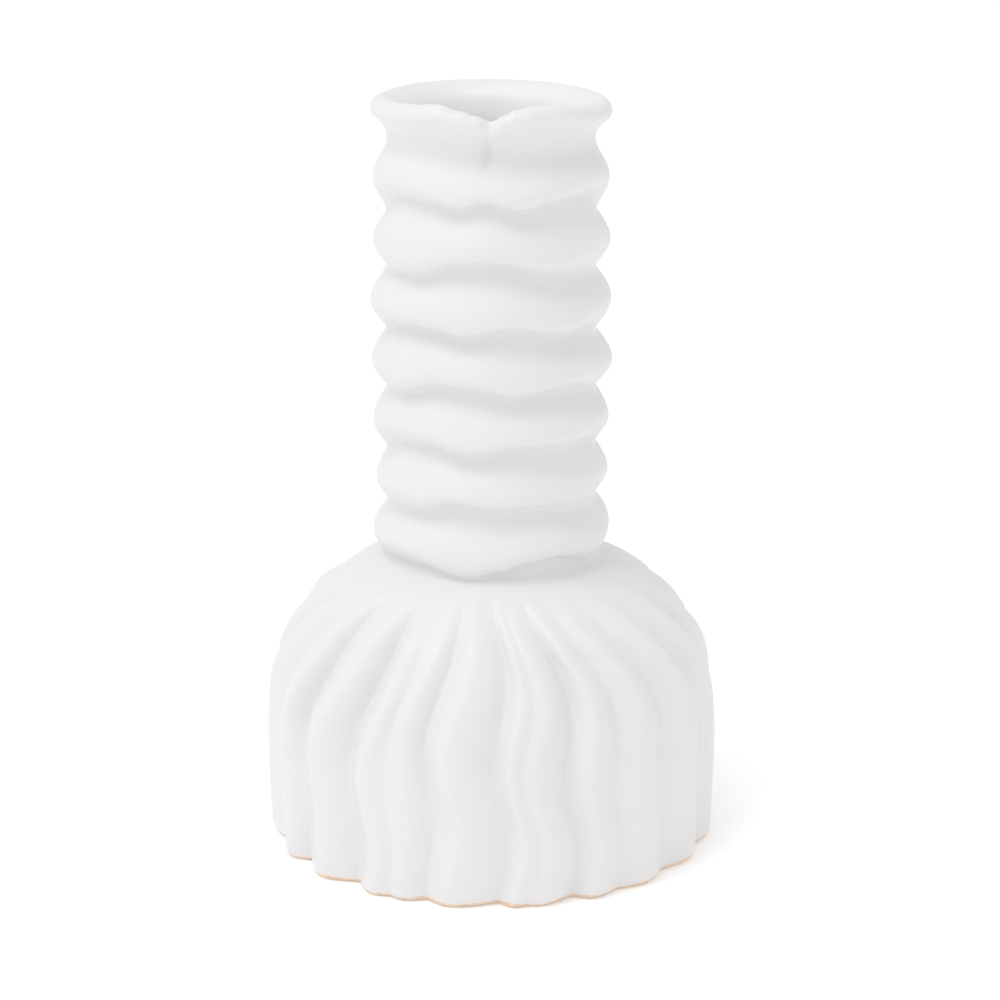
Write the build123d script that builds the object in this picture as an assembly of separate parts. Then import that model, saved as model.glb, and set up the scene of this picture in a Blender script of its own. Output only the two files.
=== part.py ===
from build123d import *
import os
from math import cos, pi, radians, sin

# Ceramic bud vase: a squat pleated dome carrying a tall ribbed neck with a pinched lip.
# Millimetres. The foot rests on Z = 0, the axis is +Z and the pinch in the lip faces -Y.
# Angles round the vase are degrees from the pinch, growing towards +X.

# Driving dimensions
OVERALL_HEIGHT = 178.9    # to the higher of the lip's two ears
BODY_HEIGHT = 69.0        # resting face to the end of the shoulder
BODY_RADIUS = 54.2        # over the pleat crests at the widest height
NECK_RADIUS = 24.0        # at the bottom of the creases
BULGE = 3.9               # how far the fullest bulge swells out over its creases
LIP_HEIGHT = 10.0         # end of the neck to the level of the rim
LIP_FLARE = 3.7           # how far the rolled lip stands out from the neck
DENT_DEPTH = 1.6          # finger crease below the pinch
DENT_REACH = 13.0         # degrees each side of the pinch that the finger crease takes up
WALL = 4.6                # wall, from the creases and valleys inwards
BORE_SWELL = 2.1          # how far the bore follows the bulges outwards
PLEAT_DEPTH = 3.0         # crest to the deepest folds
PLEAT_LEAN = 25.0         # degrees by which side pleats lean to the front as they climb
LEAN_START = 0.52         # share of the body's height at which that lean begins
LEAN_SPAN = 0.435         # share of the body's height over which it is gained
SWAY_LENGTH = 38.0        # height over which a pleat sways out and back
COLLAR_HEIGHT = 3.0       # plain band between the pleats and the neck
COLLAR_SPREAD = 9.0       # how much wider the band is at its foot than the neck
FOOT_HEIGHT = 3.0         # bare clay foot ring
FOOT_ROUND = 2.2          # rounding of the edge that the vase stands on
FLOOR_THICKNESS = 4.6
FLOOR_LIFT = 1.2          # the floor slab's clearance above the table

# Points on each outline, enough for the waves of the neck and for the pleats
NECK_POINTS = 72
BODY_POINTS = 300

# The creases between the bulges, from the top one down: the share of the neck's height at
# which each lies, then (angle, rise in mm) where the crease turns up or down on its way round.
CREASES = [
    (0.869, [(-88, -3.1), (-52, 2.2), (-34, 1.9), (-19, 0.5), (-3, 1.9), (15, 0.0), (32, 1.5), (60, 2.6),
             (88, -3.1), (130, 1.4), (172, -1.4), (-142, 1.4)]),
    (0.727, [(-88, -1.9), (-45, -1.6), (-16, 1.9), (-6, 2.4), (5, 2.1), (33, -0.6), (52, -1.1), (88, -1.9),
             (135, 1.5), (-178, -1.2), (-132, 1.2)]),
    (0.578, [(-88, -2.7), (-58, 1.3), (-41, 1.7), (-28, 1.3), (-14, 0.1), (5, 1.9), (15, 1.7), (40, -0.3),
             (56, 0.2), (88, -2.3), (140, 1.5), (-176, -1.2), (-130, 1.4)]),
    (0.440, [(-88, -2.3), (-54, -0.6), (-25, 2.5), (-11, 2.2), (13, 0.1), (40, 1.2), (69, -1.0), (88, -2.3),
             (128, 1.3), (172, -1.2), (-132, 1.5)]),
    (0.301, [(-88, -3.8), (-50, 1.9), (-35, 2.1), (-13, 0.2), (16, 2.1), (40, 1.3), (69, 1.3), (88, -2.4),
             (132, 1.5), (-178, -1.2), (-134, 1.4)]),
    (0.164, [(-88, -2.6), (-42, -0.7), (-17, 2.1), (5, 1.0), (27, 1.0), (52, -0.5), (88, -0.8), (120, 0.9),
             (150, -1.2), (-164, 1.2), (-122, -0.8)]),
    (0.026, [(-88, -1.6), (-43, 0.7), (-12, -1.6), (5, -0.2), (16, 1.4), (34, 2.1), (71, -1.6), (110, 0.6),
             (135, 1.6), (172, -0.6), (-134, 1.8)]),
]

# A bulge between two creases: (way up from the lower crease, share of the full swell). It
# rolls over quickly at its lower edge and runs out gently towards the crease above. The top
# bulge runs on into the waist under the lip in a wave instead.
BULGE_OUTLINE = [(0.0, 0.0), (0.12, 0.60), (0.28, 0.96), (0.46, 0.99), (0.68, 0.75), (0.86, 0.37)]
TOP_BULGE_OUTLINE = [(0.0, 0.0), (0.12, 0.60), (0.28, 0.96), (0.46, 0.98), (0.68, 0.58), (0.86, 0.14)]
BULGE_SHARES = [0.83, 0.93, 1.0, 1.0, 0.95, 0.87, 0.98]   # how full each is, from the top one down

# The rim's height round the mouth, counted from its level: (angle, rise). It dips to a narrow
# V at the pinch, between two raised ears.
RIM_RISE = [(-110, -0.2), (-57, 0.1), (-43, 0.35), (-28, 0.9), (-16, -0.35), (-8, -1.3), (0, -2.6),
            (7, -1.2), (12, -0.1), (22, 0.55), (36, 0.75), (48, -0.1), (62, -0.6), (82, -0.9),
            (122, -0.4), (150, 0.0), (190, 0.2), (220, 0.2)]
RIM_SHARE = 0.75          # way up the lip above which it follows the rim fully

# The lip: (way up, share of the flare) outside, then (way up, share of the way from the bore
# to the lip's edge) down the dished inside.
LIP_OUTSIDE = [(0.16, 0.03), (0.30, 0.16), (0.41, 0.39), (0.50, 0.65), (0.61, 0.89), (0.73, 1.0),
               (0.86, 0.91), (0.94, 0.71)]
LIP_INSIDE = [(0.94, 0.52), (0.84, 0.39), (0.73, 0.27), (0.57, 0.12), (0.40, 0.07), (0.20, 0.03)]
LIP_CROWN = 0.63          # where the top of the lip lies on the way from bore to edge

# The pleats round the dome: angle of the crest, sway in degrees, height of the sway's turn, height
# of the crest, share of the way to the next crest where the fold lies, depth of the fold.
PLEATS = [
    (-84, 1.0, 20, 1.0, 0.50, 0.8), (-65, -1.5, 28, 1.0, 0.36, 1.0), (-48, -2.0, 32, 1.0, 0.56, 1.0),
    (-31.5, -2.0, 28, 0.95, 0.50, 0.4), (-21, -1.0, 40, 0.8, 0.40, 0.75), (-10.5, -2.5, 36, 1.0, 0.66, 1.0),
    (6, 2.0, 36, 1.0, 0.42, 0.45), (14, 1.0, 30, 0.85, 0.60, 0.85), (25, 2.8, 12, 1.0, 0.50, 0.55),
    (31.5, -1.5, 28, 0.75, 0.48, 0.7), (44, -1.5, 22, 1.0, 0.40, 0.8), (61.5, 1.0, 40, 1.0, 0.45, 0.8),
    (80, 1.0, 30, 1.0, 0.50, 0.9), (97, -2.0, 24, 1.0, 0.42, 0.8), (113, 1.6, 34, 0.9, 0.55, 1.0),
    (130, -1.5, 20, 1.0, 0.45, 0.8), (147, 2.2, 30, 1.0, 0.50, 1.0), (163, -1.2, 36, 0.85, 0.45, 0.6),
    (176, 1.8, 18, 1.0, 0.55, 1.0), (193, -2.0, 28, 1.0, 0.40, 0.8), (209, 1.4, 38, 0.9, 0.50, 0.9),
    (226, -1.6, 22, 1.0, 0.55, 1.0), (243, 2.0, 32, 1.0, 0.45, 0.8), (260, -1.4, 26, 0.9, 0.50, 0.9),
]
PLEAT_FADE = [(0.64, 1.0), (0.78, 0.85), (0.87, 0.6), (0.92, 0.3)]   # the depth eases off up the shoulder

# The dome's outline, foot to shoulder: (share of the body's height, share of the way from the
# neck's radius to the crest radius).
DOME = [(0.04, 0.980), (0.12, 0.990), (0.28, 1.0), (0.42, 1.0), (0.53, 0.981), (0.62, 0.945),
        (0.71, 0.872), (0.80, 0.745), (0.87, 0.595), (0.92, 0.445)]

# The rounded edge of the foot: (way up the foot ring, share of FOOT_ROUND it is drawn in by)
FOOT_EDGE = [(0.0, 0.72), (0.3, 0.32), (0.75, 0.04), (1.0, 0.0)]

# Sizes that follow from those above
NECK_TOP = OVERALL_HEIGHT - max(rise for _, rise in RIM_RISE) - LIP_HEIGHT
NECK_LENGTH = NECK_TOP - BODY_HEIGHT
COLLAR_BOTTOM = BODY_HEIGHT - COLLAR_HEIGHT
BORE_RADIUS = NECK_RADIUS - WALL
LIP_RADIUS = NECK_RADIUS + LIP_FLARE
BODY_SPREAD = BODY_RADIUS - NECK_RADIUS
FOOT_RADIUS = NECK_RADIUS + DOME[0][1] * BODY_SPREAD
FLOOR_RADIUS = FOOT_RADIUS - PLEAT_DEPTH - WALL
NECK_SEAT_RADIUS = NECK_RADIUS + 0.12 * COLLAR_SPREAD


def eased(angle, stations):
    """The value at an angle, easing from each (angle, value) station to the next one round."""
    ring = sorted(((a + 360) % 360, v) for a, v in stations)
    ring.append((ring[0][0] + 360, ring[0][1]))
    angle = (angle - ring[0][0]) % 360 + ring[0][0]
    for (a0, v0), (a1, v1) in zip(ring, ring[1:]):
        if angle <= a1:
            share = (angle - a0) / (a1 - a0)
            return v0 + (v1 - v0) * (1 - cos(pi * share)) / 2
    return ring[0][1]


def between(x, table):
    """Straight-line reading of a table of (x, value) pairs in rising x."""
    if x <= table[0][0]:
        return table[0][1]
    for (x0, v0), (x1, v1) in zip(table, table[1:]):
        if x <= x1:
            return v0 + (v1 - v0) * (x - x0) / (x1 - x0)
    return table[-1][1]


def near_pinch(angle, reach):
    """1 at the pinch, falling to 0 at its reach on each side, with a soft point."""
    off = abs((angle + 180) % 360 - 180) / reach
    if off >= 1:
        return 0.0
    return (1 - off) ** 2 * (1 + 0.6 * off)


def outline(count, radius_at, height_at):
    """A closed smooth wire round the axis, its radius and height given at each angle."""
    points = []
    for i in range(count):
        angle = 360 * i / count
        r = radius_at(angle)
        points.append((r * sin(radians(angle)), -r * cos(radians(angle)), height_at(angle)))
    steps = [i / count for i in range(count + 1)]
    return Wire([Edge.make_spline(points, periodic=True, parameters=steps)])


def ring(radius, z):
    return outline(NECK_POINTS, lambda angle: radius, lambda angle: z)


def crease_height(n, angle):
    """Height of crease n, counted down from the top. The neck's flat ends count as creases too."""
    if n < 0:
        return NECK_TOP
    if n == len(CREASES):
        return BODY_HEIGHT
    share, stations = CREASES[n]
    return BODY_HEIGHT + share * NECK_LENGTH + eased(angle, stations)


def bulge_section(n, up, swell):
    """A section of the bulge above crease n, following the creases that bound it."""
    def height_at(angle):
        low = crease_height(n, angle)
        return low + up * (crease_height(n - 1, angle) - low)

    def radius_at(angle):
        dent = max(0.0, 1 - (NECK_TOP - height_at(angle)) / LIP_HEIGHT) * DENT_DEPTH
        return NECK_RADIUS + BULGE * swell - dent * near_pinch(angle, DENT_REACH)

    return outline(NECK_POINTS, radius_at, height_at)


def lip_section(up, radius):
    """A section of the lip: up runs from 0 at the end of the neck to 1 at the lip's top."""
    def height_at(angle):
        return NECK_TOP + up * LIP_HEIGHT + min(1.0, up / RIM_SHARE) * eased(angle, RIM_RISE)

    def radius_at(angle):
        return radius - DENT_DEPTH * (1 - up) * near_pinch(angle, DENT_REACH)

    return outline(NECK_POINTS, radius_at, height_at)


def crest_angle(pleat, z):
    """Angle of a pleat's crest at a height: it sways, and leans to the front up the shoulder."""
    angle, sway, turn = pleat[:3]
    climb = max(0.0, (z / BODY_HEIGHT - LEAN_START) / LEAN_SPAN) ** 1.6
    return angle + sway * cos(2 * pi * (z - turn) / SWAY_LENGTH) - PLEAT_LEAN * climb * sin(radians(angle))


def pleat_inset(angle, z):
    """How far the pleated wall lies in from its crests at an angle: 0 on a crest, 1 in a fold."""
    stations = []
    for pleat, following in zip(PLEATS, PLEATS[1:] + PLEATS[:1]):
        here = crest_angle(pleat, z)
        way = (crest_angle(following, z) - here) % 360
        crest, fold_share, depth = pleat[3:]
        stations.append((here, 1 - crest))
        stations.append((here + fold_share * way, depth))
    return eased(angle, stations)


def dome_radius(share):
    """Crest radius of the dome at a share of the body's height."""
    return NECK_RADIUS + between(share, DOME) * BODY_SPREAD


def body_section(z, crest_radius, depth):
    return outline(BODY_POINTS, lambda angle: crest_radius - depth * pleat_inset(angle, z), lambda angle: z)


def hollow():
    """The inside of the vase as one solid of revolution, to be cut from the walls."""
    dome = [(FLOOR_RADIUS, -1.0)]
    for share, _ in DOME[1:]:
        reach = dome_radius(share) - WALL - PLEAT_DEPTH
        drop = 0.05 * share * BODY_HEIGHT
        dome.append((min(FLOOR_RADIUS, reach), share * BODY_HEIGHT - drop))
    dome.append((BORE_RADIUS, BODY_HEIGHT))
    neck = [(BORE_RADIUS, BODY_HEIGHT)]
    heights = [share * NECK_LENGTH + BODY_HEIGHT for share, _ in CREASES[::-1]] + [NECK_TOP]
    for low, high in zip(heights, heights[1:]):
        neck.append((BORE_RADIUS + BORE_SWELL, (low + high) / 2))
        neck.append((BORE_RADIUS, high))
    line = Polyline((0, -1.0), *dome) + Spline(*neck) + Polyline(neck[-1], (0, NECK_TOP), (0, -1.0))
    return revolve(Plane.XZ * make_face(line), Axis.Z)


def make_floor_slab():
    """The disc that closes the vase, let into the foot ring and clear of the table."""
    return Pos(0, 0, FLOOR_LIFT) * extrude(Circle(FLOOR_RADIUS), FLOOR_THICKNESS)


def make_foot_ring():
    """The scalloped ring of bare clay that the vase stands on."""
    sections = []
    for up, share in FOOT_EDGE:
        sections.append(body_section(up * FOOT_HEIGHT, FOOT_RADIUS - share * FOOT_ROUND, PLEAT_DEPTH))
    return Solid.make_loft(sections) - hollow()


def make_pleated_body():
    """The dome's pleated wall, from the foot ring to the plain collar."""
    sections = [body_section(FOOT_HEIGHT, FOOT_RADIUS, PLEAT_DEPTH)]
    for share, _ in DOME[1:]:
        depth = PLEAT_DEPTH * between(share, PLEAT_FADE)
        sections.append(body_section(share * BODY_HEIGHT, dome_radius(share), depth))
    sections.append(body_section(COLLAR_BOTTOM, NECK_RADIUS + COLLAR_SPREAD, 0))
    return Solid.make_loft(sections) - hollow()


def make_neck_collar():
    """The plain band where the neck is joined to the dome."""
    foot = ring(NECK_RADIUS + COLLAR_SPREAD, COLLAR_BOTTOM)
    middle = ring(NECK_RADIUS + 0.42 * COLLAR_SPREAD, COLLAR_BOTTOM + 0.6 * COLLAR_HEIGHT)
    return Solid.make_loft([foot, middle, ring(NECK_SEAT_RADIUS, BODY_HEIGHT)]) - hollow()


def make_ribbed_neck():
    """The neck: bulges stacked between wavy creases, each with a skin of its own."""
    bottom = ring(NECK_SEAT_RADIUS, BODY_HEIGHT)
    top = lip_section(0.0, NECK_RADIUS)
    lowest = len(CREASES) - 1
    creases = [bulge_section(n, 0.0, 0.0) for n in range(lowest, -1, -1)] + [top]
    skins = [*Shell.make_loft([bottom, bulge_section(lowest + 1, 0.5, 0.1), creases[0]]).faces()]
    for i, (low, high) in enumerate(zip(creases, creases[1:])):
        n = lowest - i
        shape = BULGE_OUTLINE if n > 0 else TOP_BULGE_OUTLINE
        middle = [bulge_section(n, up, swell * BULGE_SHARES[n]) for up, swell in shape[1:]]
        skins += Shell.make_loft([low, *middle, high]).faces()
    return Solid(Shell([Face(bottom), *skins, Face(top)])) - hollow()


def make_pinched_lip():
    """The rolled lip: one skin up the outside, over the top and down into the mouth."""
    sections = [lip_section(0.0, NECK_RADIUS)]
    sections += [lip_section(up, NECK_RADIUS + share * LIP_FLARE) for up, share in LIP_OUTSIDE]
    lip_width = LIP_RADIUS - BORE_RADIUS
    sections.append(lip_section(1.0, BORE_RADIUS + LIP_CROWN * lip_width))
    sections += [lip_section(up, BORE_RADIUS + share * lip_width) for up, share in LIP_INSIDE]
    mouth = ring(BORE_RADIUS, NECK_TOP)
    skin = Shell.make_loft(sections + [mouth])
    seat = Face(sections[0], [mouth])
    return Solid(Shell([*skin.faces(), seat]))


def keep(solid, name, colour):
    solid.label = name
    solid.color = Color(*colour)
    export_step(solid, f"parts/{name}.step")
    print(name, round(solid.volume))


GLAZE = (0.93, 0.92, 0.91)
CLAY = (0.86, 0.79, 0.70)

os.makedirs("parts", exist_ok=True)
keep(make_floor_slab(), "floor_slab", CLAY)
keep(make_foot_ring(), "foot_ring", CLAY)
keep(make_pleated_body(), "pleated_body", GLAZE)
keep(make_neck_collar(), "neck_collar", GLAZE)
keep(make_ribbed_neck(), "ribbed_neck", GLAZE)
keep(make_pinched_lip(), "pinched_lip", GLAZE)
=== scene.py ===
"""White glazed bud vase: a pleated dome, a neck of stacked bulges and a lip pinched at the front.

Each glazed piece is a surface worked out on a grid of two parameters: the angle round the vase and
the way along its wall. Angles are degrees from the pinch, growing towards +X. The shape functions
work in millimetres, and grid_points turns them into metres.
"""
from math import cos, radians, sin

import bpy
import numpy as np
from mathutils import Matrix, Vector


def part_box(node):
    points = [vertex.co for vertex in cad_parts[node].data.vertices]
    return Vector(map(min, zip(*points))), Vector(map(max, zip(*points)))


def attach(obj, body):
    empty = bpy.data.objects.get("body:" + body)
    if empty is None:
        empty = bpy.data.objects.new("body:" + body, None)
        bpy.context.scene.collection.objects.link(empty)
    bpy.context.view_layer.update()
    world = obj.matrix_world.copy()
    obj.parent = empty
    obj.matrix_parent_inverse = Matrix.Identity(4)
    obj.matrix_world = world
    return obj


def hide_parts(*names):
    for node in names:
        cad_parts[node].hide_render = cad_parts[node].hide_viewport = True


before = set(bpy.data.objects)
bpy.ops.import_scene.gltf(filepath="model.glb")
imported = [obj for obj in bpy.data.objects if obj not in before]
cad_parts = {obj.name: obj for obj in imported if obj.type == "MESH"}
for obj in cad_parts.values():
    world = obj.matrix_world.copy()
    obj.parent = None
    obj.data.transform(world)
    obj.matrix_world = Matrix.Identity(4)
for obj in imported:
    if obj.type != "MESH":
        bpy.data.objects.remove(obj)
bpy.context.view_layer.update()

MM = 0.001


def frame_size(node):
    """The lowest and highest corner of a CAD node in millimetres."""
    low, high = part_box(node)
    return np.array(low) / MM, np.array(high) / MM


# ---------------------------------------------------------------- heights and radii from the frame
NECK_LOW, NECK_HIGH = frame_size("ribbed_neck")
BODY_LOW, BODY_HIGH = frame_size("pleated_body")
FOOT_HIGH = frame_size("foot_ring")[1]
FLOOR_HIGH = frame_size("floor_slab")[1]

NECK_TOP = NECK_HIGH[2]
NECK_BOTTOM = NECK_LOW[2]
NECK_LENGTH = NECK_TOP - NECK_BOTTOM
COLLAR_BOTTOM = BODY_HIGH[2]
FOOT_TOP = FOOT_HIGH[2]
NECK_CREST = min(NECK_HIGH[0], -NECK_LOW[0])
BODY_RADIUS = min(BODY_HIGH[0], -BODY_LOW[0], BODY_HIGH[1], -BODY_LOW[1])
FLOOR_RADIUS = FLOOR_HIGH[0]

# ---------------------------------------------------------------- sizes of the finished form
CREASE_RADIUS = 24.0       # the neck at its creases
CREASE_FILLET = 0.5        # glaze pooled in a crease
CREST_AT = 0.52            # share of a bulge's height, from its upper crease down, where it is widest
CREST_LOWER = 0.22         # how much lower that is at the front
BORE_RADIUS = 19.0         # the bore at its creases
BORE_SWELL = 0.5           # share of the bulges' swell that the bore follows
BORE_PLAIN = (154.0, 166.0)    # heights between which the bore turns plain under the throat

LIP_RADIUS = 27.7
LIFT_OUTSIDE = (-0.5, 7.5)     # heights over the waist between which the rim's rise comes in
LIFT_INSIDE = (3.0, 9.0)       # the same down the dish
THROAT_PLACE = 17          # the lip outline's point just inside the throat's edge
THROAT_ARCH = 1.4          # rise of the throat's edge at the back of the mouth
THROAT_ARCH_ANGLE = 188.0
THROAT_ARCH_WIDTH = 15.0   # degrees
THROAT_ARCH_START = 5.0    # way along the outline over which the arch comes in
THROAT_ARCH_END = 3.0      # and over which it runs out again

DENT_ANGLE = -2.0          # the finger crease under the pinch
DENT_DEPTH = 1.1
DENT_WIDTH = 2.7           # degrees
DENT_START = (162.5, 169.0)    # heights between which it deepens
DENT_END = (172.0, 177.0)      # heights between which it and the thumb hollow run out
THUMB_DEPTH = 1.5          # the thumb hollow round that crease
THUMB_WIDTH = (9.0, 33.0)      # degrees, at its foot and at its top
THUMB_OPENING = (156.0, 168.0)     # heights between which it widens
THUMB_START = (155.0, 163.0)   # heights between which it deepens

PLEAT_DEPTH = 4.6          # from a full crest to a fold of depth 1
PLEAT_LEAN = 20.0          # degrees by which the side pleats lean to the front as they climb
LEAN_START = 36.0          # height where the lean comes in
LEAN_CLIMB = 30.0          # climb that brings the whole lean
LEAN_POWER = 1.6
SWAY_LENGTH = 38.0         # height over which a pleat sways out and back
FOLD_POWER = 1.6
FOLD_ROUND = 0.12          # rounding of a fold's bottom, as a share of the way from crest to fold
COLLAR_FUNNEL = 6.0        # how far the bore opens out down through the collar
GLAZE_EDGE = 1.1           # height of the glaze's lower edge over the floor
GLAZE_EDGE_WAVE = 0.45     # how far that edge strays up and down
GLAZE_EDGE_BLUR = 0.15     # half the height over which glaze gives way to clay

GLAZE_COOL = (0.765, 0.758, 0.772, 1)
GLAZE_WARM = (0.770, 0.760, 0.756, 1)
GLAZE_PAINTED_LIGHT = (0.90, 0.89, 0.885, 1)   # painted light: a lighter white inside the mouth and down the bore, standing in for the light there
CLAY_LIGHT = (0.86, 0.70, 0.56, 1)
CLAY_DARK = (0.70, 0.53, 0.40, 1)
TABLE_WHITE = (0.93, 0.93, 0.93, 1)

# Light, table and camera; places and sizes are in metres here, the lens in millimetres.
ROOM_LIGHT = 0.870
TABLE_GLOW = 0.16
TABLE_SIZE = 60
KEY_POWER = 11.6
LAMP_AIM = (0, 0, 0.09)
CAMERA_LENS = 102.7
CAMERA_PLACE = (0.002, -0.6506, 0.269)
CAMERA_TILT = 16.06        # degrees below level

NECK_COLUMNS = 360
BODY_COLUMNS = 720
LIP_ROWS = 120
ROWS_PER_BULGE = 30
ROW_GATHER = 0.75          # how far a bulge's rows gather at its creases
BORE_ROWS = 36
COLLAR_ROWS = 30
COLLAR_STEP = 6            # the collar's inside has one row for this many outside
ROWS_CLOSER_FROM = 45.0    # height over which the dome's rows lie closer
WALL_ROWS = 50             # rows of the dome below it
SHOULDER_ROWS = 60         # and over it
HOLLOW_ROWS = 18
FOOT_ROWS = 16
FOOT_INSIDE_ROWS = 4

# A bulge's slow unevenness round the neck, as waves: reach, waves in a turn, shift from bulge to
# bulge and first shift in radians.
UNEVEN_WAVES = [(0.18, 2, 1.7, 0.0), (0.12, 3, 2.9, 1.0)]

# The rim's height round the mouth, counted from its level: (angle, rise).
RIM_RISE = [(-110, -0.2), (-57, 0.1), (-43, 0.35), (-28, 0.9), (-16, -0.35), (-8, -1.3), (0, -2.6),
            (7, -1.2), (12, -0.1), (22, 0.55), (36, 0.75), (48, -0.1), (62, -0.6), (82, -0.9),
            (122, -0.4), (150, 0.0), (190, 0.2), (220, 0.2)]

# The neck's creases from the top one down: share of the neck's height, then (angle, rise).
CREASES = [
    (0.869, [(-88, -3.1), (-52, 2.2), (-34, 1.9), (-19, 0.5), (-3, 1.9), (15, 0.0), (32, 1.5), (60, 2.6),
             (88, -3.1), (130, 1.4), (172, -1.4), (-142, 1.4)]),
    (0.727, [(-88, -1.9), (-45, -1.6), (-16, 1.9), (-6, 2.4), (5, 2.1), (33, -0.6), (52, -1.1), (88, -1.9),
             (135, 1.5), (-178, -1.2), (-132, 1.2)]),
    (0.578, [(-88, -2.7), (-58, 1.3), (-41, 1.7), (-28, 1.3), (-14, 0.1), (5, 1.9), (15, 1.7), (40, -0.3),
             (56, 0.2), (88, -2.3), (140, 1.5), (-176, -1.2), (-130, 1.4)]),
    (0.440, [(-88, -2.3), (-54, -0.6), (-25, 2.5), (-11, 2.2), (13, 0.1), (40, 1.2), (69, -1.0), (88, -2.3),
             (128, 1.3), (172, -1.2), (-132, 1.5)]),
    (0.301, [(-88, -3.8), (-50, 1.9), (-35, 2.1), (-13, 0.2), (16, 2.1), (40, 1.3), (69, 1.3), (88, -2.4),
             (132, 1.5), (-178, -1.2), (-134, 1.4)]),
    (0.164, [(-88, -2.6), (-42, -0.7), (-17, 2.1), (5, 1.0), (27, 1.0), (52, -0.5), (88, -0.8), (120, 0.9),
             (150, -1.2), (-164, 1.2), (-122, -0.8)]),
    (0.024, [(-88, -1.9), (-43, 0.7), (-12, -1.9), (5, -0.2), (16, 1.4), (34, 2.1), (71, -1.9), (110, 0.6),
             (135, 1.6), (172, -0.6), (-134, 1.8)]),
]
# How far each bulge's crest lies outside the neck's widest, or within it, from the top bulge down.
BULGE_CRESTS = [-0.65, -0.25, 0.05, 0.05, -0.15, -0.45, -0.05]

# The lip's outline from the neck's waist out, over the crown, down the dish to the throat:
# (height over the waist, radius short of the lip's widest). The first point only steers the curve.
LIP_OUTLINE = [
    (-1.6, 3.6), (0.0, 3.7), (1.6, 3.6), (3.0, 3.15), (4.1, 2.35), (5.0, 1.4), (6.0, 0.45), (7.3, 0.0),
    (8.5, 0.3), (9.4, 1.1), (9.9, 2.2), (9.85, 3.2), (9.4, 4.1), (8.5, 5.4), (7.5, 6.5), (6.6, 7.2),
    (5.7, 7.6), (4.7, 7.9), (3.4, 8.2), (1.8, 8.5), (0.0, 8.7)]

# The pleats round the dome: angle of the crest, sway in degrees, height where it sways out, how
# full the crest is, share of the way to the next crest where the fold lies, depth of the fold.
PLEATS = [
    (-84, 1.0, 20, 1.0, 0.50, 0.8), (-65, -1.5, 28, 1.0, 0.36, 1.2), (-48, -2.0, 32, 1.0, 0.56, 1.35),
    (-31.5, -2.0, 28, 0.95, 0.50, 0.4), (-22, -1.0, 40, 0.85, 0.48, 0.9), (-9, -1.8, 36, 1.0, 0.76, 1.0),
    (7, 2.0, 14, 0.95, 0.50, 0.2), (13, 2.4, 12, 0.95, 0.64, 1.0), (27, 1.6, 10, 1.0, 0.50, 0.6),
    (42, -1.5, 26, 1.0, 0.45, 0.8), (62, 1.0, 40, 1.0, 0.45, 0.8),
    (80, 1.0, 30, 1.0, 0.50, 0.9), (97, -2.0, 24, 1.0, 0.42, 0.8), (113, 1.6, 34, 0.9, 0.55, 1.0),
    (130, -1.5, 20, 1.0, 0.45, 0.8), (147, 2.2, 30, 1.0, 0.50, 1.0), (163, -1.2, 36, 0.85, 0.45, 0.6),
    (176, 1.8, 18, 1.0, 0.55, 1.0), (193, -2.0, 28, 1.0, 0.40, 0.8), (209, 1.4, 38, 0.9, 0.50, 0.9),
    (226, -1.6, 22, 1.0, 0.55, 1.0), (243, 2.0, 32, 1.0, 0.45, 0.8), (260, -1.4, 26, 0.9, 0.50, 0.9),
]

# The dome's outline over the crests, from the foot up: (height, radius short of the widest).
DOME = [(0.0, 1.9), (0.5, 1.2), (1.2, 0.75), (3.0, 0.5), (8.0, 0.25), (18.0, 0.0), (28.0, 0.0),
        (33.0, 0.3), (37.0, 0.6), (40.0, 0.9), (43.0, 1.5), (46.0, 2.4), (49.0, 3.7), (52.0, 5.3),
        (55.0, 7.4), (58.0, 9.8), (60.0, 11.9), (62.0, 14.5), (64.0, 17.4), (66.0, 20.7),
        (67.3, 23.4), (68.3, 25.6), (69.2, 27.4), (70.2, 28.6), (71.5, 29.4), (73.5, 29.9), (78.0, 31.5),
        (86.0, 36.0)]
# The hollow's outline, from the floor up: (height, radius).
HOLLOW = [(0.0, FLOOR_RADIUS), (30.0, FLOOR_RADIUS), (40.0, 45.6), (48.0, 42.6), (55.0, 38.0),
          (61.0, 31.5), (66.0, 26.0)]
# The pleats' depth up the dome: (height, share of the full depth).
PLEAT_FADE = [(0, 0.8), (18, 0.8), (34, 1.0), (46, 1.1), (54, 1.0), (60, 0.75), (63.5, 0.4),
              (66, 0.16), (69, 0.0)]


# ---------------------------------------------------------------- tools for the shapes
def eased_round(angle, stations):
    """Value round the vase: between two (angle, value) stations it follows half a cosine wave."""
    where, value = np.array(stations, float).T
    order = np.argsort(where % 360)
    where, value = (where % 360)[order], value[order]
    where = np.concatenate([where[-1:] - 360, where, where[:1] + 360])
    value = np.concatenate([value[-1:], value, value[:1]])
    turned = np.mod(angle, 360)
    i = np.clip(np.searchsorted(where, turned) - 1, 0, len(where) - 2)
    share = (turned - where[i]) / (where[i + 1] - where[i])
    return value[i] + (value[i + 1] - value[i]) * (1 - np.cos(np.pi * share)) / 2


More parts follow.
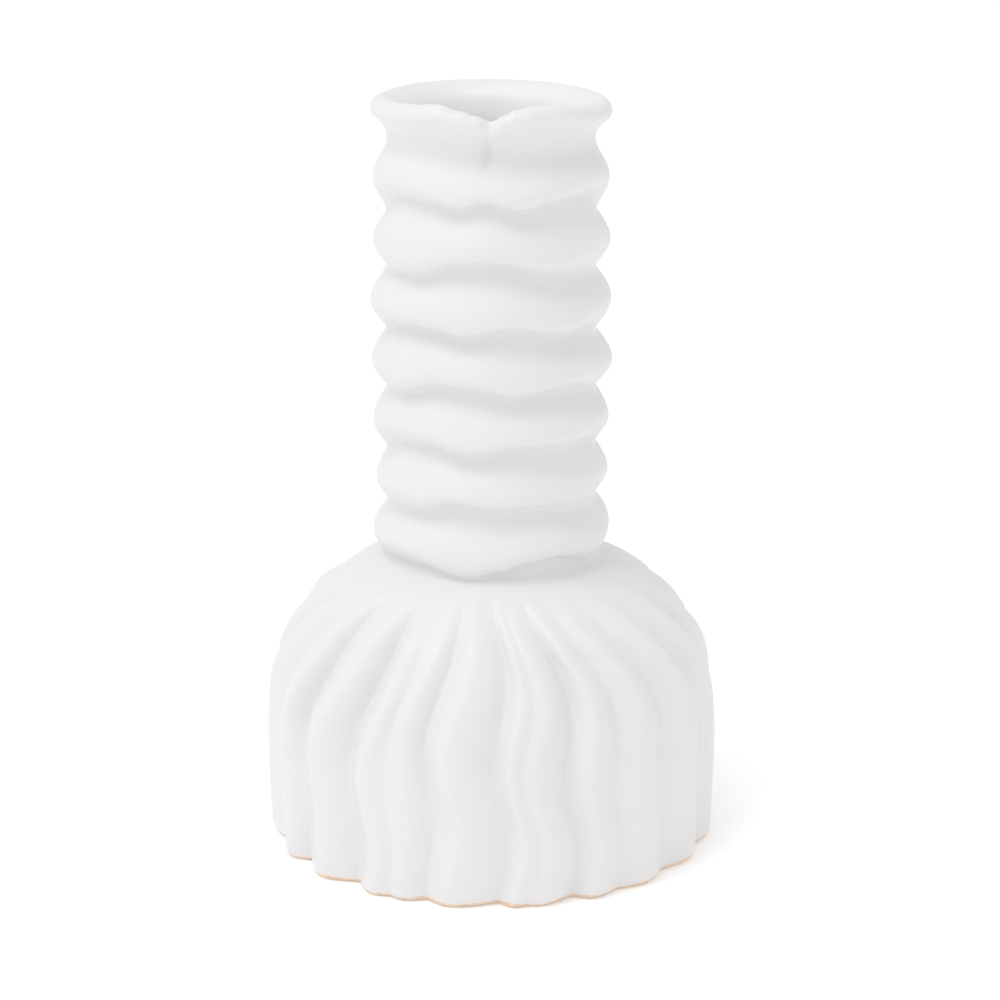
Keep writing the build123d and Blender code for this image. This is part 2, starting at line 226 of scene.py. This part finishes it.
def smooth_curve(x, knots, values):
    """A natural cubic spline through (knots, values), read at x."""
    knots, values = np.asarray(knots, float), np.asarray(values, float)
    n, h = len(knots), np.diff(knots)
    slopes = np.diff(values) / h
    matrix = np.eye(n)
    i = np.arange(1, n - 1)
    matrix[i, i - 1], matrix[i, i], matrix[i, i + 1] = h[:-1], 2 * (h[:-1] + h[1:]), h[1:]
    right = np.zeros(n)
    right[1:-1] = 6 * np.diff(slopes)
    bend = np.linalg.solve(matrix, right)
    k = np.clip(np.searchsorted(knots, x) - 1, 0, n - 2)
    t, step = x - knots[k], h[k]
    return (values[k] + t * (slopes[k] - step * (2 * bend[k] + bend[k + 1]) / 6)
            + t**2 * bend[k] / 2 + t**3 * (bend[k + 1] - bend[k]) / (6 * step))


def bell(angle, centre, width):
    """A bell curve round the vase: 1 at its centre, about a third one width away."""
    off = np.mod(angle - centre + 180, 360) - 180
    return np.exp(-(off / width) ** 2)


def ramp(x, start, end):
    """0 before start, 1 after end, an even S between them."""
    t = np.clip((x - start) / (end - start), 0, 1)
    return t * t * (3 - 2 * t)


def soft_max(values, fillet):
    """The largest of several arrays with a fillet where they cross: a logarithm of summed powers."""
    top = np.max(values, axis=0)
    return top + fillet * np.log(np.sum(np.exp((values - top) / fillet), axis=0))


def columns(count):
    """Angles of the grid's columns."""
    return np.arange(count) * 360 / count


def grid_points(angles, radius, height):
    """Points of a grid in metres: (r sin a, -r cos a, z)."""
    a = np.radians(angles)
    height = height + np.zeros_like(radius)
    return np.stack([radius * np.sin(a), -radius * np.cos(a), height], axis=-1) * MM


def unit(vectors):
    """The vectors brought to length 1."""
    return vectors / np.linalg.norm(vectors, axis=-1, keepdims=True)


def ring_quads(index):
    """Four-cornered faces of a grid of point numbers that closes round the vase."""
    along = np.roll(index, -1, axis=1)
    return np.stack([index[:-1], along[:-1], along[1:], index[1:]], axis=-1).reshape(-1, 4)


def band_wall(angles, radius, height):
    """A band's points and the way the wall faces at each: the cross product of its two slopes.

    The band has one row more at either end than the wall. The slopes of the whole band give the
    normals, so glaze runs on smoothly from piece to piece.
    """
    grid = grid_points(angles, radius, height)
    along = np.roll(grid, -1, axis=1) - np.roll(grid, 1, axis=1)
    return grid[1:-1], unit(np.cross(along[1:-1], grid[2:] - grid[:-2]))


def shell_surface(angles, bands):
    """Points, faces, a normal for each face's corner and each point's share of painted light, a lighter
    glaze colour.

    Flat rims join each band's last row to the next band's first, and close the shell.
    """
    points, faces, normals, painted_light = [], [], [], []
    starts, ends = [], []
    count = 0
    for radius, height, share in bands:
        wall, facing = band_wall(angles, radius, height)
        rows, around = wall.shape[:2]
        index = count + np.arange(rows * around).reshape(rows, around)
        quads = ring_quads(index)
        points.append(wall.reshape(-1, 3))
        faces.append(quads)
        normals.append(facing.reshape(-1, 3)[quads - count])
        painted_light.append((share + np.zeros_like(radius))[1:-1].ravel())
        starts.append(index[0])
        ends.append(index[-1])
        count += rows * around
    points = np.vstack(points)
    for last, first in zip(ends, starts[1:] + starts[:1]):
        quads = ring_quads(np.stack([last, first]))
        corner = points[quads]
        flat = unit(np.cross(corner[:, 1] - corner[:, 0], corner[:, 3] - corner[:, 0]))
        faces.append(quads)
        normals.append(np.repeat(flat[:, None, :], 4, axis=1))
    return points, np.vstack(faces), np.vstack(normals), np.concatenate(painted_light)


def make_shell(name, angles, bands, material, node):
    """A closed shell from bands of wall carried round the axis, up the outside and down the inside.

    Each band is a radius grid, a height grid and the share of painted light on it, a lighter glaze colour.
    """
    points, quads, normals, painted_light = shell_surface(angles, bands)
    mesh = bpy.data.meshes.new(name)
    mesh.vertices.add(len(points))
    mesh.vertices.foreach_set("co", points.astype(np.float32).ravel())
    mesh.loops.add(quads.size)
    mesh.loops.foreach_set("vertex_index", quads.astype(np.int32).ravel())
    mesh.polygons.add(len(quads))
    mesh.polygons.foreach_set("loop_start", np.arange(0, quads.size, 4, dtype=np.int32))
    mesh.polygons.foreach_set("use_smooth", np.ones(len(quads), bool))
    mesh.update(calc_edges=True)
    mesh.normals_split_custom_set(normals.reshape(-1, 3).tolist())
    # Painted light: each point's share of the lighter glaze colour that stands in for light inside the
    # mouth and bore.
    painted_light_layer = mesh.attributes.new("painted_light_share", "FLOAT", "POINT")
    painted_light_layer.data.foreach_set("value", painted_light.astype(np.float32))
    mesh.materials.append(material)
    piece = bpy.data.objects.new(name, mesh)
    bpy.context.scene.collection.objects.link(piece)
    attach(piece, "root")
    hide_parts(node)


def with_ends(values):
    """A run of parameters with one more step at either end."""
    return np.concatenate([[2 * values[0] - values[1]], values, [2 * values[-1] - values[-2]]])


# ---------------------------------------------------------------- the neck
def crease_height(n, angles):
    """Height of crease n counted from the top; -1 is the waist under the lip."""
    if n < 0:
        return np.full_like(angles, NECK_TOP)
    share, stations = CREASES[n]
    return NECK_BOTTOM + share * NECK_LENGTH + eased_round(angles, stations)


def bulge_swell(n, angles, height):
    """Swell of bulge n at a height: 0 at its creases and 1 at its crest, below 0 beyond them.

    The wall leaves the crease above in a wave, the square of a sine, and reaches the crest low at
    the front. Below the crest it is the same wave at the sides and back, and at the front a fourth
    power that tucks under sharply at the crease below.
    """
    top, low = crease_height(n - 1, angles), crease_height(n, angles)
    t = (top - height) / (top - low)
    front = np.sqrt(np.clip(np.cos(np.radians(angles)), 0, 1))
    crest = CREST_AT + CREST_LOWER * front**2
    over = np.sin(np.pi / 2 * np.clip(t / crest, -1, 1))
    below = np.clip((t - crest) / (1 - crest), 0, 2)
    wave = np.cos(np.pi / 2 * below)
    under = front * (1 - below**4) + (1 - front) * wave * np.abs(wave)
    return np.where(t < crest, over * np.abs(over), under)


def dent(angles, height):
    """Depth of the finger crease under the pinch and of the thumb hollow round it: two bell curves."""
    finger = DENT_DEPTH * bell(angles, DENT_ANGLE, DENT_WIDTH) * ramp(height, *DENT_START)
    foot_width, top_width = THUMB_WIDTH
    width = foot_width + (top_width - foot_width) * ramp(height, *THUMB_OPENING)
    thumb = THUMB_DEPTH * bell(angles, DENT_ANGLE, width) * ramp(height, *THUMB_START)
    return (finger + thumb) * (1 - ramp(height, *DENT_END))


def crest_radius(n, angles):
    """Radius over the crest of a bulge, with a slow unevenness of its own round the neck."""
    turn = np.radians(angles)
    uneven = sum(reach * np.sin(waves * turn + step * n + first)
                 for reach, waves, step, first in UNEVEN_WAVES)
    return NECK_CREST + BULGE_CRESTS[n] + uneven


def neck_radius(angles, height):
    """Radius of the outside of neck, collar and dome: bulges and dome, filleted where they meet.

    Each is counted from the creases' radius, and past its own creases a bulge falls away inwards.
    """
    reaches = [shoulder_radius(angles, height) - CREASE_RADIUS]
    for n in range(len(CREASES)):
        reach = crest_radius(n, angles) - CREASE_RADIUS
        reaches.append(reach * np.clip(bulge_swell(n, angles, height), -3, 1))
    return CREASE_RADIUS + soft_max(np.array(reaches), CREASE_FILLET) - dent(angles, height)


def neck_inside(angles, height):
    """Radius of the bore, which follows the bulges faintly, as a cast wall does."""
    swell = neck_radius(angles, height) + dent(angles, height) - CREASE_RADIUS
    return BORE_RADIUS + BORE_SWELL * swell * (1 - ramp(height, *BORE_PLAIN))


def make_neck(material):
    """The ribbed neck: rows that follow the creases, closer together near them, and a plainer bore."""
    angles = columns(NECK_COLUMNS)
    even = with_ends(np.linspace(0, 1, ROWS_PER_BULGE + 1))
    close = even - ROW_GATHER * np.sin(2 * np.pi * even) / (2 * np.pi)
    heights = []
    for n in range(len(CREASES)):
        top, low = crease_height(n - 1, angles), crease_height(n, angles)
        first = 0 if n == 0 else 2
        last = len(close) if n == len(CREASES) - 1 else -1
        heights.append(top + close[first:last, None] * (low - top))
    outside = np.vstack(heights)[::-1]
    foot = crease_height(len(CREASES) - 1, angles)
    down = with_ends(np.linspace(0, 1, BORE_ROWS))[:, None]
    inside = NECK_TOP + down * (foot - NECK_TOP)
    # Painted light: the bore takes the lighter glaze colour in full, the outside none.
    bands = [(neck_radius(angles, outside), outside, 0), (neck_inside(angles, inside), inside, 1)]
    make_shell("ribbed_neck_glazed", angles, bands, material, "ribbed_neck")


# ---------------------------------------------------------------- the lip
def make_lip(material):
    """The rolled lip: one outline carried round, over the crown and down the dish to the throat.

    The rim's rise and fall lifts the crown fully, and less and less down to the waist and the throat,
    whose edge arches at the back. Painted light: the glaze colour grows lighter from the crown to the
    throat.
    """
    angles = columns(NECK_COLUMNS)
    rise, short = np.array(LIP_OUTLINE).T
    way = np.concatenate([[0], np.cumsum(np.hypot(np.diff(rise), np.diff(short)))])
    s = with_ends(np.linspace(way[1], way[-1], LIP_ROWS))[:, None]
    z = smooth_curve(s, way, rise)
    crown, throat = s[np.argmax(z), 0], way[THROAT_PLACE]
    inside = s > crown
    lifted = np.where(inside, ramp(z, *LIFT_INSIDE), ramp(z, *LIFT_OUTSIDE))
    arch = THROAT_ARCH * (bell(angles, THROAT_ARCH_ANGLE, THROAT_ARCH_WIDTH) - 0.5)
    arched = np.where(inside, ramp(s, throat - THROAT_ARCH_START, throat), 0)
    arched = arched * ramp(way[-1] - s, 0, THROAT_ARCH_END)
    height = NECK_TOP + z + lifted * eased_round(angles, RIM_RISE) + arched * arch
    radius = LIP_RADIUS - smooth_curve(s, way, short) - dent(angles, height)
    # Painted light: the lighter glaze colour comes in from the crown down to the throat.
    band = (radius, height, ramp(s, crown, throat + 1))
    make_shell("pinched_lip_glazed", angles, [band], material, "pinched_lip")


# ---------------------------------------------------------------- the dome and its pleats
def crest_path(pleat, height):
    """Angle of a pleat's crest: its own sway, and the lean to the front as it climbs the shoulder."""
    angle, sway, turn = pleat[:3]
    climb = np.clip((height - LEAN_START) / LEAN_CLIMB, 0, 1.1) ** LEAN_POWER
    swayed = angle + sway * np.cos(2 * np.pi * (height - turn) / SWAY_LENGTH)
    return swayed - PLEAT_LEAN * climb * np.sin(np.radians(angle))


def pleat_inset(angles, height):
    """Share of the pleats' depth by which the wall lies inside its crests.

    From a crest to the fold beside it the inset grows with a power of the way, so that crests are
    full and round and folds are creases, and a small root in the way rounds the fold's bottom.
    """
    inset = np.zeros(np.broadcast(angles, height).shape)
    for here, ahead in zip(PLEATS, PLEATS[1:] + PLEATS[:1]):
        start = crest_path(here, height)
        width = np.mod(crest_path(ahead, height) - start, 360)
        way = np.mod(angles - start, 360) / width
        share, depth = here[4:]
        before = way < share
        to_fold = np.where(before, 1 - way / share, 1 - (1 - way) / (1 - share))
        crest_inset = np.where(before, 1 - here[3], 1 - ahead[3])
        swell = np.clip(1 - np.hypot(to_fold, FOLD_ROUND), 0, 1) ** FOLD_POWER
        inset = np.where(way < 1, crest_inset + (depth - crest_inset) * swell, inset)
    return inset


def shoulder_radius(angles, height):
    """Radius of the dome: its outline, less the pleats' inset, which fades out on the shoulder."""
    outline = BODY_RADIUS - smooth_curve(np.clip(height, DOME[0][0], DOME[-1][0]), *np.array(DOME).T)
    fade = np.interp(height, *np.array(PLEAT_FADE).T)
    return outline - PLEAT_DEPTH * fade * pleat_inset(angles, height)


def make_collar(material):
    """The plain band between the neck's lowest crease and the pleats; its bore opens out downwards."""
    angles = columns(NECK_COLUMNS)
    edge = crease_height(len(CREASES) - 1, angles)
    up = with_ends(np.linspace(0, 1, COLLAR_ROWS))[:, None]
    down = up[::COLLAR_STEP]
    outside = COLLAR_BOTTOM + up * (edge - COLLAR_BOTTOM)
    inside = edge - down * (edge - COLLAR_BOTTOM)
    inner = BORE_RADIUS + COLLAR_FUNNEL * down**2 + np.zeros_like(angles)
    bands = [(neck_radius(angles, outside), outside, 0), (inner, inside, 0)]
    make_shell("neck_collar_glazed", angles, bands, material, "neck_collar")


def make_body(material):
    """The pleated dome with its hollow."""
    angles = columns(BODY_COLUMNS)
    wall = np.linspace(FOOT_TOP, ROWS_CLOSER_FROM, WALL_ROWS)
    shoulder = np.linspace(ROWS_CLOSER_FROM, COLLAR_BOTTOM, SHOULDER_ROWS)
    outside = with_ends(np.concatenate([wall, shoulder[1:]]))[:, None]
    down = with_ends(np.linspace(COLLAR_BOTTOM, FOOT_TOP, HOLLOW_ROWS))[:, None]
    inner = smooth_curve(down, *np.array(HOLLOW).T) + np.zeros_like(angles)
    bands = [(neck_radius(angles, outside), outside, 0), (inner, down, 0)]
    make_shell("pleated_body_glazed", angles, bands, material, "pleated_body")


def make_foot(material):
    """The scalloped foot ring: rows lie closer towards its rounded standing edge."""
    angles = columns(BODY_COLUMNS)
    up = np.linspace(0, 1, FOOT_ROWS)
    outside = with_ends(FOOT_TOP * up**2)[:, None]
    outside[0] = outside[1] - 0.02     # just under the floor, for the slope at the standing edge
    down = with_ends(np.linspace(FOOT_TOP, 0, FOOT_INSIDE_ROWS))[:, None]
    inner = np.full((len(down), BODY_COLUMNS), FLOOR_RADIUS)
    bands = [(shoulder_radius(angles, outside), outside, 0), (inner, down, 0)]
    make_shell("foot_ring_fired", angles, bands, material, "foot_ring")


def finish_slab(material):
    """The floor slab is plain, so it keeps its CAD shape and takes the bare clay."""
    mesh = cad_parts["floor_slab"].data
    mesh.materials.clear()
    mesh.materials.append(material)


# ---------------------------------------------------------------- finishes
def new_material(name):
    """A material, its node tree and its main shader."""
    material = bpy.data.materials.new(name)
    material.use_nodes = True
    tree = material.node_tree
    return material, tree, tree.nodes["Principled BSDF"]


def add_node(tree, kind, **inputs):
    """A shader node with some inputs set; an input given as a socket is linked instead."""
    node = tree.nodes.new(kind)
    for key, value in inputs.items():
        socket = node.inputs[key.replace("_", " ")]
        if isinstance(value, bpy.types.NodeSocket):
            tree.links.new(value, socket)
        else:
            socket.default_value = value
    return node


def object_noise(tree, scale, detail):
    """Even noise fixed to the piece, in features per metre."""
    place = tree.nodes.new("ShaderNodeTexCoord").outputs["Object"]
    return add_node(tree, "ShaderNodeTexNoise", Vector=place, Scale=scale, Detail=detail).outputs["Fac"]


def spread(tree, value, low, high, out_low, out_high):
    """Maps a value's range to another."""
    node = tree.nodes.new("ShaderNodeMapRange")
    tree.links.new(value, node.inputs["Value"])
    for key, number in (("From Min", low), ("From Max", high), ("To Min", out_low), ("To Max", out_high)):
        node.inputs[key].default_value = number
    return node.outputs["Result"]


def blend_colours(tree, share, first, second):
    """A colour between two others; each may be a colour or a socket."""
    node = tree.nodes.new("ShaderNodeMix")
    node.data_type = "RGBA"
    tree.links.new(share, node.inputs["Factor"])
    for socket, value in ((node.inputs[6], first), (node.inputs[7], second)):
        if isinstance(value, bpy.types.NodeSocket):
            tree.links.new(value, socket)
        else:
            socket.default_value = value
    return node.outputs[2]


def add_bump(tree, shader, height, distance, strength):
    """Fine relief from a height pattern."""
    bump = add_node(tree, "ShaderNodeBump", Height=height, Distance=distance, Strength=strength)
    tree.links.new(bump.outputs["Normal"], shader.inputs["Normal"])


def glaze_colour(tree):
    """White with slow drifts of a cooler and a warmer white, as a fired glaze has."""
    drift = spread(tree, object_noise(tree, 14.0, 2.0), 0.35, 0.65, 0.0, 1.0)
    return blend_colours(tree, drift, GLAZE_COOL, GLAZE_WARM)


def glaze_material():
    """White satin glaze with a faint ripple, and painted light: whiter inside the mouth and down the bore.
    """
    material, tree, shader = new_material("white_satin_glaze")
    painted_light_layer = tree.nodes.new("ShaderNodeAttribute")
    painted_light_layer.attribute_name = "painted_light_share"
    # Painted light: the glaze colour is mixed towards a lighter white by the painted-light share.
    colour = blend_colours(tree, painted_light_layer.outputs["Fac"], glaze_colour(tree), GLAZE_PAINTED_LIGHT)
    tree.links.new(colour, shader.inputs["Base Color"])
    gloss = spread(tree, object_noise(tree, 60.0, 3.0), 0.3, 0.7, 0.50, 0.60)
    tree.links.new(gloss, shader.inputs["Roughness"])
    shader.inputs["IOR"].default_value = 1.5
    shader.inputs["Coat Weight"].default_value = 0.08
    shader.inputs["Coat Roughness"].default_value = 0.25
    add_bump(tree, shader, object_noise(tree, 420.0, 2.0), 0.0002, 0.25)
    return material


def clay_colour(tree):
    """Pale peach clay with fine darker specks."""
    grain = spread(tree, object_noise(tree, 900.0, 4.0), 0.35, 0.7, 0.0, 1.0)
    return blend_colours(tree, grain, CLAY_LIGHT, CLAY_DARK)


def clay_material():
    """Bare fired clay, matt and finely gritty."""
    material, tree, shader = new_material("bare_fired_clay")
    tree.links.new(clay_colour(tree), shader.inputs["Base Color"])
    shader.inputs["Roughness"].default_value = 0.85
    add_bump(tree, shader, object_noise(tree, 1600.0, 4.0), 0.0003, 0.5)
    return material


def foot_material():
    """Glaze that ends in a slightly wavy edge just over the floor, with bare clay below it."""
    material, tree, shader = new_material("glaze_ending_on_clay")
    place = tree.nodes.new("ShaderNodeTexCoord").outputs["Object"]
    split = add_node(tree, "ShaderNodeSeparateXYZ", Vector=place)
    stray = GLAZE_EDGE_WAVE * MM
    wave = spread(tree, object_noise(tree, 90.0, 2.0), 0.3, 0.7, -stray, stray)
    level = tree.nodes.new("ShaderNodeMath")
    level.operation = "ADD"
    tree.links.new(split.outputs["Z"], level.inputs[0])
    tree.links.new(wave, level.inputs[1])
    under, over = (GLAZE_EDGE - GLAZE_EDGE_BLUR) * MM, (GLAZE_EDGE + GLAZE_EDGE_BLUR) * MM
    glazed = spread(tree, level.outputs[0], under, over, 0.0, 1.0)
    colour = blend_colours(tree, glazed, clay_colour(tree), glaze_colour(tree))
    tree.links.new(colour, shader.inputs["Base Color"])
    tree.links.new(spread(tree, glazed, 0.0, 1.0, 0.85, 0.3), shader.inputs["Roughness"])
    add_bump(tree, shader, object_noise(tree, 900.0, 3.0), 0.0002, 0.3)
    return material


def table_material():
    """A pale, matt, evenly lit table."""
    material, tree, shader = new_material("pale_table")
    shader.inputs["Base Color"].default_value = TABLE_WHITE
    shader.inputs["Roughness"].default_value = 0.9
    shader.inputs["Emission Color"].default_value = (1, 1, 1, 1)
    shader.inputs["Emission Strength"].default_value = TABLE_GLOW
    return material


# ---------------------------------------------------------------- camera, table and light
def make_camera():
    """A long lens a little above the vase, looking down at it from the pinch's side."""
    data = bpy.data.cameras.new("camera")
    data.lens = CAMERA_LENS
    data.sensor_width = 36
    data.clip_start, data.clip_end = 0.05, 20
    camera = bpy.data.objects.new("camera", data)
    bpy.context.scene.collection.objects.link(camera)
    camera.location = CAMERA_PLACE
    camera.rotation_euler = (radians(90 - CAMERA_TILT), 0, 0)
    bpy.context.scene.camera = camera


def make_table():
    """The table that the vase stands on, far wider than the view."""
    bpy.ops.mesh.primitive_plane_add(size=TABLE_SIZE)
    table = bpy.context.object
    table.name = "table_top"
    table.data.materials.append(table_material())


def soft_box(name, azimuth, rise, distance, size, power):
    """A square lamp turned to the vase's middle; azimuth counts from the pinch towards +X."""
    a, e = radians(azimuth), radians(rise)
    way = Vector((sin(a) * cos(e), -cos(a) * cos(e), sin(e)))
    data = bpy.data.lights.new(name, "AREA")
    data.shape = "SQUARE"
    data.size = size
    data.energy = power
    lamp = bpy.data.objects.new(name, data)
    bpy.context.scene.collection.objects.link(lamp)
    lamp.location = Vector(LAMP_AIM) + way * distance
    lamp.rotation_euler = (-way).to_track_quat("-Z", "Y").to_euler()


def make_light():
    """An even white room and a high soft box at the left."""
    world = bpy.data.worlds.new("studio")
    bpy.context.scene.world = world
    world.use_nodes = True
    room = world.node_tree.nodes["Background"]
    room.inputs["Color"].default_value = (1, 1, 1, 1)
    room.inputs["Strength"].default_value = ROOM_LIGHT
    soft_box("high_soft_box", azimuth=-55, rise=64, distance=2.0, size=0.9, power=KEY_POWER)
    bpy.context.scene.view_settings.view_transform = "Standard"


make_camera()
make_table()
make_light()
glaze = glaze_material()
clay = clay_material()
make_lip(glaze)
make_neck(glaze)
make_collar(glaze)
make_body(glaze)
make_foot(foot_material())
finish_slab(clay)
